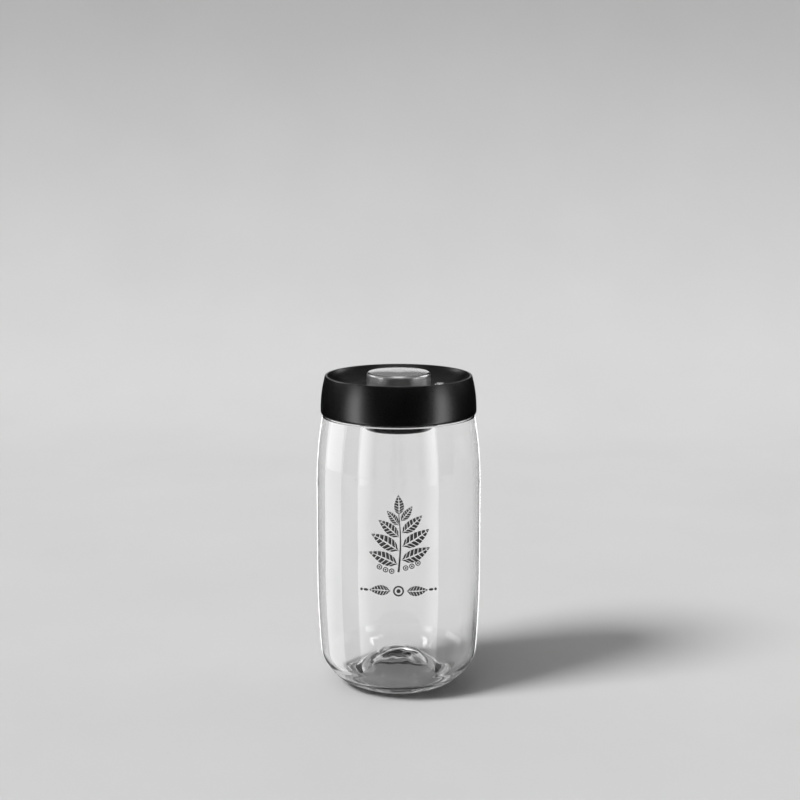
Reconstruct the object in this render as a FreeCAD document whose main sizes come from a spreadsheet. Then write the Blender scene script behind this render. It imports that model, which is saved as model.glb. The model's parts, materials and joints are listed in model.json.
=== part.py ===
import FreeCAD, Part
import math
import os
import re
import Sketcher

# Vacuum seal canister: a blown glass jar closed by a lid with a hand pump.
# Millimetres, +Z up, the origin at the middle of the foot ring that the jar stands on.
# The front is -Y; the release button stands to the right of the pump, towards +X.

SIZES = {
    # Glass jar, outside
    "body_radius": 52.0,
    "jar_height": 186.0,
    "foot_width": 3.4,
    "foot_round": 2.5,
    "foot_outer_round": 5.0,
    "toe_inset": 9.6,
    "toe_rise": 5.2,
    "toe_reach": 11.5,
    "toe_round": 22.0,
    "heel_inset": 2.4,
    "heel_rise": 18.35,
    "heel_round": 20.0,
    "lower_taper": 52.5,
    "lower_round": 650.0,
    "upper_taper": 24.0,
    "upper_round": 240.0,
    "shoulder_inset": 3.8,
    "shoulder_round": 0.5,
    "neck_length": 11.4,
    "neck_inset": 4.8,
    "neck_root_round": 0.4,
    "neck_wall": 2.9,
    "lip_round": 1.2,
    # Glass jar, inside
    "glass_wall": 2.8,
    "mouth_rise": 2.4,
    "mouth_round": 25.0,
    "base_glass": 5.0,
    "upper_inner_round": 175.0,
    "heel_inner_round": 16.0,
    "trough_inset": 13.6,
    "trough_round": 7.0,
    "punt_rise": 18.0,
    "punt_crown_radius": 6.5,
    "punt_crown_round": 16.0,
    "punt_glass": 6.0,
    "punt_hollow_radius": 6.0,
    "punt_hollow_round": 14.0,
    # Lid cover
    "lid_inset": 2.8,
    "lid_height": 24.6,
    "lid_bottom_round": 2.2,
    "lid_bend_drop": 11.5,
    "lid_bend_round": 75.0,
    "rim_inset": 2.9,
    "rim_width": 1.3,
    "rim_round": 0.5,
    "dish_depth": 9.0,
    "dish_run": 5.2,
    "dish_round": 17.5,
    "cover_floor": 2.0,
    "skirt_wall": 1.5,
    "cavity_lean": 2.0,
    "cavity_top_drop": 5.5,
    "cavity_top_width": 1.9,
    "cavity_foot_run": 3.6,
    "cavity_round": 10.0,
    "post_radius": 2.6,
    # Inner lid and neck gasket
    "seat_gap": 0.1,
    "gasket_leg": 1.1,
    "gasket_wall": 0.9,
    "gasket_inset": 0.3,
    "gasket_lip_height": 2.2,
    "gasket_lip_pitch": 3.6,
    "gasket_foot_rise": 2.0,
    "glass_gap": 0.1,
    "plug_gap": 3.7,
    "plug_wall": 2.0,
    "plug_round": 1.0,
    "flange_thick": 1.8,
    "flange_gap": 0.7,
    "plate_rise": 0.6,
    "plate_thick": 2.0,
    "fit_gap": 0.05,
    # Lid screws
    "screw_inset": 3.8,
    "screw_radius": 1.1,
    "screw_length": 5.0,
    "screw_head_radius": 2.1,
    "screw_head_height": 1.0,
    "screw_slot_width": 0.6,
    "screw_slot_depth": 0.5,
    "screw_hole_gap": 0.2,
    "screw_angle": 45.0,
    "screw_count": 4,
    # Press cap
    "cap_radius": 20.2,
    "cap_proud": 2.8,
    "cap_crown": 1.0,
    "cap_crown_round": 130.0,
    "cap_sheet": 0.6,
    "cap_round": 1.8,
    "cap_dip": 1.0,
    "cap_gap": 0.35,
    "pad_thick": 0.4,
    "pad_inset": 2.2,
    "core_thick": 1.8,
    "core_wall": 1.3,
    "core_gap": 0.1,
    "core_lift": 0.6,
    "core_vent_width": 2.0,
    "core_vent_depth": 0.9,
    "core_vent_inset": 2.2,
    "core_vent_count": 4,
    # Piston
    "piston_lap": 0.95,
    "piston_thick": 5.0,
    "bore_gap": 0.1,
    "stop_gap": 0.15,
    "pump_travel": 9.0,
    "seal_groove_depth": 1.7,
    "seal_groove_height": 2.4,
    "seal_groove_rise": 1.3,
    "seal_waist": 0.5,
    "pocket_inset": 1.2,
    "pocket_width": 2.6,
    "pocket_roof": 1.5,
    "piston_wall": 1.4,
    "barb_clear": 0.9,
    "roof_thick": 2.0,
    # Barrel, ring and strainer
    "barrel_wall": 1.4,
    "barrel_floor": 2.0,
    "valve_clear": 0.6,
    "barrel_rest_inset": 0.3,
    "barrel_rest_thick": 1.6,
    "ring_wire_radius": 0.5,
    "ring_gap": 0.05,
    "collar_gap": 0.1,
    "collar_wall": 0.8,
    "collar_height": 2.2,
    "strainer_wall": 1.25,
    "strainer_floor": 1.4,
    "strainer_clear": 0.5,
    "strainer_grip": 4.8,
    "strainer_round": 6.0,
    "strainer_inner_round": 2.5,
    "strainer_hole_radius": 1.3,
    "strainer_outer_inset": 6.5,
    "strainer_outer_count": 18,
    "strainer_inner_inset": 13.5,
    "strainer_inner_count": 10,
    # Umbrella valves
    "valve_head_radius": 6.2,
    "valve_rim_thick": 0.6,
    "valve_head_thick": 1.35,
    "valve_stem_radius": 1.2,
    "valve_hole_radius": 1.3,
    "valve_port_radius": 0.9,
    "valve_port_circle": 3.7,
    "valve_port_count": 6,
    "valve_lift": 0.8,
    "valve_barb_radius": 1.9,
    "valve_barb_height": 1.4,
    "valve_barb_gap": 0.1,
    "valve_seat_gap": 0.05,
    # Springs
    "pump_wire_radius": 0.65,
    "pump_coil_radius": 12.0,
    "pump_coil_turns": 6.5,
    "release_wire_radius": 0.25,
    "release_coil_radius": 2.05,
    "release_coil_turns": 6.0,
    "spring_seat_gap": 0.1,
    # Release button
    "release_right_share": 0.928,
    "release_front_share": 0.3725,
    "release_clear": 0.4,
    "release_radius": 3.5,
    "release_gap": 0.3,
    "release_proud": 5.4,
    "release_round": 1.4,
    "release_depth": 3.4,
    "release_skin": 0.7,
    "release_roof": 2.4,
    "release_grip": 1.5,
    "release_boss_radius": 2.5,
    "release_boss_clear": 3.4,
    "release_stem_radius": 1.1,
    "release_bore_radius": 1.45,
    "release_head_radius": 2.9,
    "release_head_thick": 1.3,
    "release_seal_radius": 3.2,
    "release_seal_thick": 1.1,
    "release_travel": 2.0,
}

PLACES = {
    # Jar stations
    "shoulder_z": "jar_height - neck_length",
    "neck_radius": "body_radius - neck_inset",
    "mouth_radius": "neck_radius - neck_wall",
    "shoulder_radius": "body_radius - shoulder_inset",
    "upper_bend_z": "shoulder_z - upper_taper",
    "heel_radius": "body_radius - heel_inset",
    "toe_radius": "heel_radius - toe_inset",
    "foot_radius": "toe_radius - toe_reach",
    "trough_radius": "heel_radius - trough_inset",
    "punt_top": "base_glass + punt_rise",
    "punt_under": "punt_top - punt_glass",
    # Lid stations, stacked up from the glass lip
    "flange_under": "jar_height + seat_gap + gasket_leg",
    "flange_top": "flange_under + flange_thick",
    "floor_top": "flange_top + cover_floor",
    "rim_z": "floor_top + dish_depth",
    "lid_bottom": "rim_z - lid_height",
    "lid_radius": "body_radius - lid_inset",
    "rim_radius": "lid_radius - rim_inset",
    "dish_rim_radius": "rim_radius - rim_width",
    "dish_corner": "dish_rim_radius - dish_run",
    "cavity_radius": "lid_radius - skirt_wall",
    "cavity_top": "flange_top + cavity_top_drop",
    "cavity_top_radius": "cavity_radius - cavity_lean",
    "plug_radius": "mouth_radius - plug_gap",
    "flange_radius": "cavity_radius - flange_gap",
    "plate_under": "lid_bottom + plate_rise",
    "plate_top": "plate_under + plate_thick",
    "screw_circle": "neck_radius - screw_inset",
    "screw_x": "screw_circle * cos(screw_angle)",
    "screw_y": "screw_circle * sin(screw_angle)",
    # Pump stations
    "cap_top": "rim_z + cap_proud",
    "cap_under": "cap_top - cap_sheet",
    "cap_inner_radius": "cap_radius - cap_sheet",
    "crown_radius": "cap_radius / 2",
    "crown_share": "cap_crown / (cap_radius - crown_radius)",
    "cap_inner_rim": "cap_under - (cap_inner_radius - crown_radius) * crown_share",
    "pad_radius": "cap_inner_radius - pad_inset",
    "pad_rim": "cap_under - (pad_radius - crown_radius) * crown_share",
    "cap_bottom": "floor_top - cap_dip",
    "core_top": "pad_rim - pad_thick",
    "piston_top": "core_top - core_thick",
    "floor_hole_radius": "cap_radius + cap_gap",
    "piston_radius": "floor_hole_radius + piston_lap",
    "bore_radius": "piston_radius + bore_gap",
    "barrel_radius": "bore_radius + barrel_wall",
    "piston_face": "flange_top - stop_gap",
    "piston_bottom": "piston_face - piston_thick",
    "barb_drop": "valve_lift + valve_barb_gap + valve_barb_height",
    "roof_under": "piston_bottom + barb_drop + barb_clear",
    "roof_top": "roof_under + roof_thick",
    "pocket_inner": "pump_coil_radius - pocket_width / 2",
    "pocket_outer": "pump_coil_radius + pocket_width / 2",
    "pocket_top": "piston_top - pocket_roof",
    "piston_neck_radius": "pocket_outer + piston_wall",
    "valve_top_rise": "valve_seat_gap + valve_head_thick + valve_lift",
    "barrel_floor_top": "piston_bottom - pump_travel - valve_clear - valve_top_rise",
    "barrel_under": "barrel_floor_top - barrel_floor",
    "collar_top": "plate_top + collar_height",
    "ring_seat_radius": "barrel_radius + (ring_wire_radius + ring_gap) * 2",
    "ring_seat_z": "collar_top - (ring_wire_radius + ring_gap) * 2",
    "collar_radius": "ring_seat_radius + collar_wall",
    "barrel_rest_radius": "collar_radius - barrel_rest_inset",
    "strainer_radius": "barrel_radius + fit_gap + strainer_wall",
    "strainer_top": "barrel_under - barb_drop - strainer_clear",
    "strainer_bottom": "strainer_top - strainer_floor",
    "strainer_rim": "barrel_under + strainer_grip",
    # Release stations
    "release_circle": "collar_radius + release_boss_radius + release_clear",
    "release_x": "release_circle * release_right_share",
    "release_front": "release_circle * release_front_share",
    "release_top": "floor_top + release_proud",
    "release_bottom": "floor_top - release_depth",
    "release_pocket_top": "release_top - release_roof",
    "release_boss_top": "release_bottom - release_travel - release_boss_clear",
    "release_pocket_radius": "release_radius - release_skin",
}

doc = FreeCAD.newDocument("vacuum_canister")


def fill_sheet(name, rows, formula):
    # One row a value: its name in the first column, the value with that alias in the second.
    sheet = doc.addObject("Spreadsheet::Sheet", name)
    for row, (alias, value) in enumerate(rows.items(), start=1):
        sheet.set(f"A{row}", alias)
        sheet.set(f"B{row}", f"={bound(value)}" if formula else str(value))
        sheet.setAlias(f"B{row}", alias)
    doc.recompute()
    return sheet


def bound(text):
    # A size or place by its bare name becomes a reference to the cell that holds it.
    def cell(match):
        word = match.group(0)
        if word in SIZES:
            return f"Sizes.{word}"
        if word in PLACES:
            return f"Places.{word}"
        return word
    return re.sub(r"[A-Za-z_]+", cell, text)


def value(text):
    return float(places.evalExpression(bound(text)))


fill_sheet("Sizes", SIZES, False)
places = fill_sheet("Places", PLACES, True)


def new_body(node):
    body = doc.addObject("PartDesign::Body", node)
    body.Label = node
    return body


def origin_item(body, role):
    return next(item for item in body.Origin.OriginFeatures if item.Role == role)


def new_sketch(body, name, plane="XZ_Plane", height="0"):
    sketch = body.newObject("Sketcher::SketchObject", name)
    sketch.AttachmentSupport = (origin_item(body, plane), [""])
    sketch.MapMode = "FlatFace"
    if height != "0":
        sketch.setExpression("AttachmentOffset.Base.z", bound(height))
    return sketch


def drive(sketch, text, kind, *where):
    # A dimension of the sketch, held by the cells that its expression names.
    index = sketch.addConstraint(Sketcher.Constraint(kind, *where, value(text)))
    sketch.setExpression(f"Constraints[{index}]", bound(text))


def hold(sketch, item, end, across, up):
    # Holds one point of the sketch at its place from the origin.
    for kind, axis, text in (("DistanceX", -2, across), ("DistanceY", -1, up)):
        if text == "0":
            sketch.addConstraint(Sketcher.Constraint("PointOnObject", item, end, axis))
        elif text.startswith("-"):
            drive(sketch, text[1:], kind, item, end, -1, 1)
        else:
            drive(sketch, text, kind, -1, 1, item, end)


def outline(sketch, corners):
    # A closed outline of straight sides through the corners (across, up) or, for a corner that is
    # rounded, (across, up, radius). A rounded corner keeps its sharp point as construction.
    count = len(corners)
    points = [FreeCAD.Vector(value(corner[0]), value(corner[1]), 0) for corner in corners]
    starts, ends, arcs = {}, {}, {}
    for i, corner in enumerate(corners):
        back = (points[i - 1] - points[i]).normalize()
        ahead = (points[(i + 1) % count] - points[i]).normalize()
        if len(corner) < 3:
            starts[i] = ends[i] = points[i]
            continue
        radius = value(corner[2])
        half = back.getAngle(ahead) / 2
        ends[i] = points[i] + back * (radius / math.tan(half))
        starts[i] = points[i] + ahead * (radius / math.tan(half))
        middle = points[i] + (back + ahead).normalize() * (radius / math.sin(half))
        left_turn = back.cross(ahead).z < 0
        arcs[i] = (middle, radius, left_turn)
    sides = []
    for i in range(count):
        side = Part.LineSegment(starts[i], ends[(i + 1) % count])
        sides.append(sketch.addGeometry(side))
    for i, corner in enumerate(corners):
        before, after = sides[i - 1], sides[i]
        if i not in arcs:
            sketch.addConstraint(Sketcher.Constraint("Coincident", before, 2, after, 1))
            hold(sketch, after, 1, corner[0], corner[1])
            continue
        middle, radius, left_turn = arcs[i]
        first, last = (ends[i], starts[i]) if left_turn else (starts[i], ends[i])
        turn_from = math.atan2(first.y - middle.y, first.x - middle.x)
        turn_to = math.atan2(last.y - middle.y, last.x - middle.x)
        circle = Part.Circle(middle, FreeCAD.Vector(0, 0, 1), radius)
        arc = sketch.addGeometry(Part.ArcOfCircle(circle, turn_from, turn_to))
        point = sketch.addGeometry(Part.Point(points[i]), True)
        enter, leave = (1, 2) if left_turn else (2, 1)
        sketch.addConstraint(Sketcher.Constraint("Tangent", before, 2, arc, enter))
        sketch.addConstraint(Sketcher.Constraint("Tangent", arc, leave, after, 1))
        sketch.addConstraint(Sketcher.Constraint("PointOnObject", point, 1, before))
        sketch.addConstraint(Sketcher.Constraint("PointOnObject", point, 1, after))
        hold(sketch, point, 1, corner[0], corner[1])
        drive(sketch, corner[2], "Radius", arc)


def turned(body, name, corners, cut=False):
    # A full turn of an outline about the Z axis of the body, added or cut away.
    sketch = new_sketch(body, f"{name}_outline")
    outline(sketch, corners)
    kind = "PartDesign::Groove" if cut else "PartDesign::Revolution"
    feature = body.newObject(kind, name)
    feature.Profile = sketch
    feature.ReferenceAxis = (sketch, ["V_Axis"])
    feature.Angle = 360
    doc.recompute()
    return feature


def turned_part(node, corners):
    body = new_body(node)
    turned(body, f"{node}_turning", corners)
    return body


def round_hole(body, name, across, up, radius):
    # A round hole right through the body, along Z.
    sketch = new_sketch(body, f"{name}_circle", "XY_Plane")
    centre = FreeCAD.Vector(value(across), value(up), 0)
    circle = sketch.addGeometry(Part.Circle(centre, FreeCAD.Vector(0, 0, 1), value(radius)))
    hold(sketch, circle, 3, across, up)
    drive(sketch, radius, "Radius", circle)
    pocket = body.newObject("PartDesign::Pocket", name)
    pocket.Profile = sketch
    pocket.Type = "ThroughAll"
    pocket.Midplane = True
    doc.recompute()
    return pocket


def round_boss(body, name, across, up, radius, height, length):
    sketch = new_sketch(body, f"{name}_circle", "XY_Plane", height)
    centre = FreeCAD.Vector(value(across), value(up), 0)
    circle = sketch.addGeometry(Part.Circle(centre, FreeCAD.Vector(0, 0, 1), value(radius)))
    hold(sketch, circle, 3, across, up)
    drive(sketch, radius, "Radius", circle)
    pad = body.newObject("PartDesign::Pad", name)
    pad.Profile = sketch
    pad.setExpression("Length", bound(length))
    doc.recompute()
    return pad


def blind_pocket(body, name, corners, height, depth):
    # A pocket that goes up from the given height.
    sketch = new_sketch(body, f"{name}_outline", "XY_Plane", height)
    if len(corners) == 1:
        across, up, radius = corners[0]
        centre = FreeCAD.Vector(value(across), value(up), 0)
        circle = sketch.addGeometry(Part.Circle(centre, FreeCAD.Vector(0, 0, 1), value(radius)))
        hold(sketch, circle, 3, across, up)
        drive(sketch, radius, "Radius", circle)
    else:
        outline(sketch, corners)
    pocket = body.newObject("PartDesign::Pocket", name)
    pocket.Profile = sketch
    pocket.Reversed = True
    pocket.setExpression("Length", bound(depth))
    doc.recompute()
    return pocket


def round_ring(body, name, base, radius, height, rounding):
    # Rounds the one circular edge that runs about the Z axis at this radius and height.
    def found(edge):
        curve = edge.Curve
        if not isinstance(curve, Part.Circle):
            return False
        return math.isclose(curve.Radius, value(radius)) and math.isclose(curve.Center.z, value(height))
    names = [f"Edge{i}" for i, edge in enumerate(base.Shape.Edges, start=1) if found(edge)]
    fillet = body.newObject("PartDesign::Fillet", name)
    fillet.Base = (base, names)
    fillet.setExpression("Radius", bound(rounding))
    doc.recompute()
    return fillet


def around(body, name, features, count):
    # Repeats features evenly about the Z axis.
    pattern = body.newObject("PartDesign::PolarPattern", name)
    pattern.Originals = features
    pattern.Axis = (origin_item(body, "Z_Axis"), [""])
    pattern.Angle = 360
    pattern.setExpression("Occurrences", bound(count))
    body.Tip = pattern
    doc.recompute()
    return pattern


def stand_at_release(body):
    body.setExpression("Placement.Base.x", bound("release_x"))
    body.setExpression("Placement.Base.y", bound("-release_front"))
    doc.recompute()


# The glass jar: foot ring, toe, heel, gently bellied wall, shoulder and plain neck outside; the same
# wall inside, down to a trough around the pushed-up middle of the base.
glass_jar = turned_part("glass_jar", [
    ("foot_radius - foot_width", "0", "foot_round"),
    ("foot_radius", "0", "foot_outer_round"),
    ("toe_radius", "toe_rise", "toe_round"),
    ("heel_radius", "heel_rise", "heel_round"),
    ("body_radius", "lower_taper", "lower_round"),
    ("body_radius", "upper_bend_z", "upper_round"),
    ("shoulder_radius", "shoulder_z", "shoulder_round"),
    ("neck_radius", "shoulder_z", "neck_root_round"),
    ("neck_radius", "jar_height", "lip_round"),
    ("mouth_radius", "jar_height", "lip_round"),
    ("mouth_radius", "shoulder_z + mouth_rise", "mouth_round"),
    ("body_radius - glass_wall", "upper_bend_z", "upper_inner_round"),
    ("body_radius - glass_wall", "lower_taper", "lower_round - glass_wall"),
    ("heel_radius - glass_wall", "heel_rise + glass_wall / 2", "heel_inner_round"),
    ("trough_radius", "base_glass", "trough_round"),
    ("punt_crown_radius", "punt_top", "punt_crown_round"),
    ("0", "punt_top"),
    ("0", "punt_under"),
    ("punt_hollow_radius", "punt_under", "punt_hollow_round"),
])

# The lid cover: a turned blank, hollowed from below, given four screw posts, then dished from
# above so that the posts end in the shell.
lid_cover = new_body("lid_cover")
turned(lid_cover, "cover_blank", [
    ("0", "lid_bottom"),
    ("lid_radius", "lid_bottom", "lid_bottom_round"),
    ("lid_radius", "rim_z - lid_bend_drop", "lid_bend_round"),
    ("rim_radius", "rim_z", "rim_round"),
    ("0", "rim_z"),
])
turned(lid_cover, "cover_cavity", [
    ("0", "lid_bottom"),
    ("cavity_radius", "lid_bottom"),
    ("cavity_radius", "flange_under"),
    ("cavity_top_radius", "cavity_top"),
    ("cavity_top_radius - cavity_top_width", "cavity_top"),
    ("cavity_top_radius - cavity_top_width - cavity_foot_run", "flange_top", "cavity_round"),
    ("0", "flange_top"),
], cut=True)
post = round_boss(
    lid_cover, "screw_post", "screw_x", "screw_y",
    "post_radius", "flange_top", "dish_depth")
around(lid_cover, "screw_posts", [post], "screw_count")
dish = turned(lid_cover, "cover_dish", [
    ("0", "floor_top"),
    ("dish_corner", "floor_top", "dish_round"),
    ("dish_rim_radius", "rim_z"),
    ("dish_rim_radius", "cap_top"),
    ("0", "cap_top"),
], cut=True)
round_ring(lid_cover, "rim_edge", dish, "dish_rim_radius", "rim_z", "rim_round")
pilot = blind_pocket(
    lid_cover, "screw_pilot",
    [("screw_x", "screw_y", "screw_radius + fit_gap")],
    "flange_top", "screw_length")
around(lid_cover, "screw_pilots", [pilot], "screw_count")
round_hole(lid_cover, "pump_opening", "0", "0", "floor_hole_radius")
round_hole(lid_cover, "release_opening", "release_x", "-release_front", "release_radius + release_gap")

# The inner lid: a flange over the glass lip, a plug in the neck, a plate with a stepped collar for
# the barrel and a hollow boss that guides the release stem.
inner_lid = turned_part("inner_lid", [
    ("barrel_radius + collar_gap", "plate_under"),
    ("plug_radius", "plate_under", "plug_round"),
    ("plug_radius", "flange_under"),
    ("flange_radius", "flange_under"),
    ("flange_radius", "flange_top"),
    ("plug_radius - plug_wall", "flange_top"),
    ("plug_radius - plug_wall", "plate_top"),
    ("collar_radius", "plate_top"),
    ("collar_radius", "collar_top"),
    ("ring_seat_radius", "collar_top"),
    ("ring_seat_radius", "ring_seat_z"),
    ("barrel_radius + collar_gap", "ring_seat_z"),
])
round_boss(
    inner_lid, "release_boss", "release_x", "-release_front", "release_boss_radius",
    "plate_under", "release_boss_top - plate_under")
round_hole(inner_lid, "release_bore", "release_x", "-release_front", "release_bore_radius")
shank_hole = round_hole(
    inner_lid, "shank_hole", "screw_x", "screw_y",
    "screw_radius + screw_hole_gap")
around(inner_lid, "shank_holes", [shank_hole], "screw_count")
head_seat = blind_pocket(
    inner_lid, "head_seat",
    [("screw_x", "screw_y",
      "screw_head_radius + screw_hole_gap")],
    "flange_under", "screw_head_height + fit_gap")
around(inner_lid, "head_seats", [head_seat], "screw_count")

# The neck gasket: a leg between the flange and the glass lip, a sleeve on the plug and two lips.
neck_gasket = turned_part("neck_gasket", [
    ("plug_radius + fit_gap", "plate_under + gasket_foot_rise"),
    ("plug_radius + fit_gap + gasket_wall", "plate_under + gasket_foot_rise"),
    ("mouth_radius - glass_gap", "plate_under + gasket_foot_rise + gasket_lip_height / 2"),
    ("plug_radius + fit_gap + gasket_wall", "plate_under + gasket_foot_rise + gasket_lip_height"),
    ("plug_radius + fit_gap + gasket_wall", "plate_under + gasket_foot_rise + gasket_lip_pitch"),
    ("mouth_radius - glass_gap",
     "plate_under + gasket_foot_rise + gasket_lip_pitch + gasket_lip_height / 2"),
    ("plug_radius + fit_gap + gasket_wall",
     "plate_under + gasket_foot_rise + gasket_lip_pitch + gasket_lip_height"),
    ("plug_radius + fit_gap + gasket_wall", "jar_height + seat_gap"),
    ("neck_radius - gasket_inset", "jar_height + seat_gap"),
    ("neck_radius - gasket_inset", "flange_under"),
    ("plug_radius + fit_gap", "flange_under"),
])

# Four screws: one is turned about its own axis with a slot under its head, then repeated.
lid_screws = new_body("lid_screws")
screw_sketch = new_sketch(lid_screws, "screw_outline")
outline(screw_sketch, [
    ("screw_circle", "flange_under + fit_gap"),
    ("screw_circle + screw_head_radius", "flange_under + fit_gap"),
    ("screw_circle + screw_head_radius", "flange_under + fit_gap + screw_head_height"),
    ("screw_circle + screw_radius", "flange_under + fit_gap + screw_head_height"),
    ("screw_circle + screw_radius", "flange_under + screw_length"),
    ("screw_circle", "flange_under + screw_length + screw_radius"),
])
screw_axis = screw_sketch.addGeometry(
    Part.LineSegment(
        FreeCAD.Vector(value("screw_circle"), 0, 0),
        FreeCAD.Vector(value("screw_circle"), value("jar_height"), 0)),
    True)
hold(screw_sketch, screw_axis, 1, "screw_circle", "0")
hold(screw_sketch, screw_axis, 2, "screw_circle", "jar_height")
screw = lid_screws.newObject("PartDesign::Revolution", "screw")
screw.Profile = screw_sketch
screw.ReferenceAxis = (screw_sketch, ["Axis0"])
screw.Angle = 360
doc.recompute()
slot = blind_pocket(lid_screws, "screw_slot", [
    ("screw_circle - screw_head_radius * 2", "-screw_slot_width / 2"),
    ("screw_circle + screw_head_radius * 2", "-screw_slot_width / 2"),
    ("screw_circle + screw_head_radius * 2", "screw_slot_width / 2"),
    ("screw_circle - screw_head_radius * 2", "screw_slot_width / 2"),
], "flange_under", "screw_slot_depth + fit_gap")
around(lid_screws, "screws", [screw, slot], "screw_count")
lid_screws.setExpression("Placement.Rotation.Angle", bound("screw_angle"))
doc.recompute()

# The pump barrel: a cup with a rest that sits on the collar; six ports and the hole of the intake
# valve go through its floor.
pump_barrel = turned_part("pump_barrel", [
    ("0", "barrel_under"),
    ("barrel_radius", "barrel_under"),
    ("barrel_radius", "collar_top"),
    ("barrel_rest_radius", "collar_top"),
    ("barrel_rest_radius", "collar_top + barrel_rest_thick"),
    ("barrel_radius", "collar_top + barrel_rest_thick"),
    ("barrel_radius", "flange_top"),
    ("bore_radius", "flange_top"),
    ("bore_radius", "barrel_floor_top"),
    ("0", "barrel_floor_top"),
])
round_hole(pump_barrel, "intake_hole", "0", "0", "valve_hole_radius")
intake_port = round_hole(pump_barrel, "intake_port", "valve_port_circle", "0", "valve_port_radius")
around(pump_barrel, "intake_ports", [intake_port], "valve_port_count")

# The ring that seals the barrel in the collar.
barrel_o_ring = doc.addObject("Part::Torus", "barrel_o_ring")
barrel_o_ring.Label = "barrel_o_ring"
barrel_o_ring.setExpression("Radius1", bound("(barrel_radius + ring_seat_radius) / 2"))
barrel_o_ring.setExpression("Radius2", bound("ring_wire_radius"))
barrel_o_ring.setExpression("Placement.Base.z", bound("(ring_seat_z + collar_top) / 2"))
doc.recompute()

# The strainer: a round-edged cup on the lower end of the barrel, with two circles of holes in its
# floor.
intake_strainer = turned_part("intake_strainer", [
    ("0", "strainer_bottom"),
    ("strainer_radius", "strainer_bottom", "strainer_round"),
    ("strainer_radius", "strainer_rim"),
    ("barrel_radius + fit_gap", "strainer_rim"),
    ("barrel_radius + fit_gap", "barrel_under - fit_gap"),
    ("barrel_radius - strainer_wall", "barrel_under - fit_gap"),
    ("barrel_radius - strainer_wall", "strainer_top", "strainer_inner_round"),
    ("0", "strainer_top"),
])
outer_hole = round_hole(
    intake_strainer, "outer_hole", "barrel_radius - strainer_outer_inset", "0", "strainer_hole_radius")
around(intake_strainer, "outer_holes", [outer_hole], "strainer_outer_count")
inner_hole = round_hole(
    intake_strainer, "inner_hole", "barrel_radius - strainer_inner_inset", "0", "strainer_hole_radius")
around(intake_strainer, "inner_holes", [inner_hole], "strainer_inner_count")


def umbrella_valve(node, seat, under):
    # A domed flap on a seat, with a stem through the hole and a barb below it that leaves the lift.
    return turned_part(node, [
        ("0", f"{under} - barb_drop"),
        ("valve_stem_radius", f"{under} - barb_drop"),
        ("valve_barb_radius", f"{under} - valve_lift - valve_barb_gap"),
        ("valve_stem_radius", f"{under} - valve_lift - valve_barb_gap"),
        ("valve_stem_radius", f"{seat} + valve_seat_gap"),
        ("valve_head_radius", f"{seat} + valve_seat_gap"),
        ("valve_head_radius", f"{seat} + valve_seat_gap + valve_rim_thick"),
        ("valve_stem_radius", f"{seat} + valve_seat_gap + valve_head_thick"),
        ("0", f"{seat} + valve_seat_gap + valve_head_thick"),
    ])


intake_valve = umbrella_valve("intake_valve", "barrel_floor_top", "barrel_under")
exhaust_valve = umbrella_valve("exhaust_valve", "roof_top", "roof_under")

# The piston: a flange with the groove of its seal, a pocket for the spring between two walls, and
# a roof inside them with the outlet ports.
piston = turned_part("piston", [
    ("0", "roof_under"),
    ("pocket_inner - pocket_inset", "roof_under"),
    ("pocket_inner - pocket_inset", "piston_bottom"),
    ("pocket_inner", "piston_bottom"),
    ("pocket_inner", "pocket_top"),
    ("pocket_outer", "pocket_top"),
    ("pocket_outer", "piston_bottom"),
    ("piston_radius", "piston_bottom"),
    ("piston_radius", "piston_bottom + seal_groove_rise"),
    ("piston_radius - seal_groove_depth", "piston_bottom + seal_groove_rise"),
    ("piston_radius - seal_groove_depth", "piston_bottom + seal_groove_rise + seal_groove_height"),
    ("piston_radius", "piston_bottom + seal_groove_rise + seal_groove_height"),
    ("piston_radius", "piston_face"),
    ("piston_neck_radius", "piston_face"),
    ("piston_neck_radius", "piston_top"),
    ("pocket_inner - pocket_inset", "piston_top"),
    ("pocket_inner - pocket_inset", "roof_top"),
    ("0", "roof_top"),
])
round_hole(piston, "outlet_hole", "0", "0", "valve_hole_radius")
outlet_port = round_hole(piston, "outlet_port", "valve_port_circle", "0", "valve_port_radius")
around(piston, "outlet_ports", [outlet_port], "valve_port_count")

# The piston seal: a ring with a waist, so that it bears on the bore along two edges.
piston_seal = turned_part("piston_seal", [
    ("piston_radius - seal_groove_depth + fit_gap", "piston_bottom + seal_groove_rise + fit_gap"),
    ("bore_radius - fit_gap", "piston_bottom + seal_groove_rise + fit_gap"),
    ("bore_radius - fit_gap - seal_waist",
     "piston_bottom + seal_groove_rise + seal_groove_height / 2"),
    ("bore_radius - fit_gap",
     "piston_bottom + seal_groove_rise + seal_groove_height - fit_gap"),
    ("piston_radius - seal_groove_depth + fit_gap",
     "piston_bottom + seal_groove_rise + seal_groove_height - fit_gap"),
])

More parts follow.
